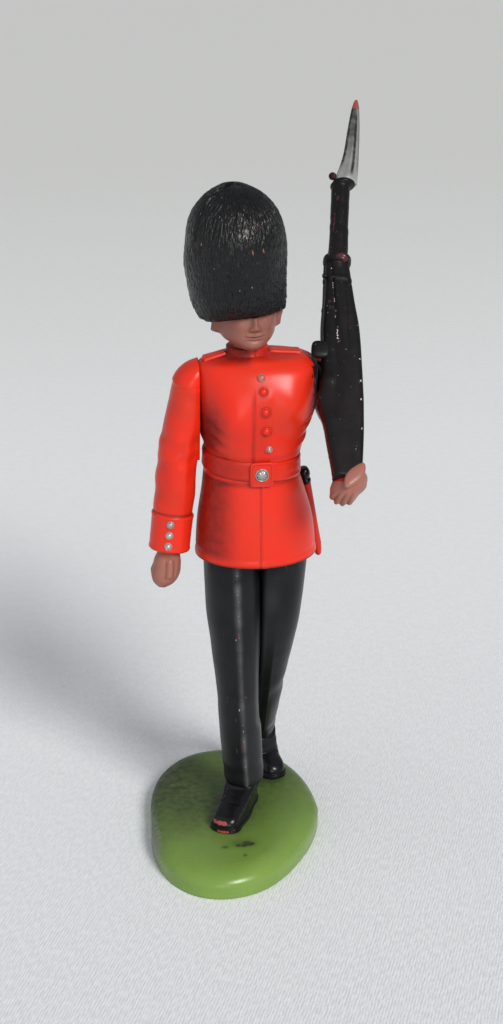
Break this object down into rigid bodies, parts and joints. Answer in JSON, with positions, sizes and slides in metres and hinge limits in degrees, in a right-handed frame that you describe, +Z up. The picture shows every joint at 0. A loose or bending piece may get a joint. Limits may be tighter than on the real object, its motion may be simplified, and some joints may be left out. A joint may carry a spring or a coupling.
{
  "type": "toy soldier figure",
  "caption": "Standing toy guardsman on a rounded base, rifle at the slope on the left shoulder, tall fur cap, turning head and swinging arms.",
  "frame": {"origin": "middle of the underside of the base, on the surface it stands on", "axes": "+Z up; the chest faces -Y; +X is to the viewer's right, the side of the rifle"},
  "size_m": [0.0231, 0.0305, 0.0686],
  "materials": {
    "leaf_green": "gloss",
    "boot_black": "gloss",
    "trouser_black": "satin",
    "scarlet": "gloss",
    "silver": "metallic paint",
    "skin": "satin",
    "bearskin_black": "gloss",
    "rifle_black": "satin"
  },
  "bodies": {
    "figure": {"base": "leaf_green", "right_boot": "boot_black", "left_boot": "boot_black", "right_trouser_leg": "trouser_black", "left_trouser_leg": "trouser_black", "tunic": "scarlet", "shoulder_straps": "scarlet", "belt": "scarlet", "belt_plate": "scarlet", "belt_boss": "silver", "tunic_buttons": "silver", "scabbard": "scarlet", "scabbard_throat": "boot_black"},
    "head_and_bearskin": {"head": "skin", "bearskin": "bearskin_black"},
    "right_arm": {"right_sleeve": "scarlet", "right_hand": "skin", "right_cuff_buttons": "silver"},
    "left_arm": {"left_sleeve": "scarlet", "left_hand": "skin", "left_cuff_buttons": "silver", "rifle": "rifle_black", "bayonet": "silver"}
  },
  "joints": [
    {"name": "head_turn", "type": "hinge", "parent": "figure", "child": "head_and_bearskin", "pos_m": [0.00115, -0.0004, 0.0495], "axis": [0, 0, 1], "continuous": true},
    {"name": "right_arm_swing", "type": "hinge", "parent": "figure", "child": "right_arm", "pos_m": [-0.0033, -0.0005, 0.0463], "axis": [1, 0, 0], "range_deg": [-160, 150]},
    {"name": "left_arm_swing", "type": "hinge", "parent": "figure", "child": "left_arm", "pos_m": [0.0074, -0.0005, 0.0463], "axis": [1, 0, 0], "range_deg": [-165, 45]}
  ]
}
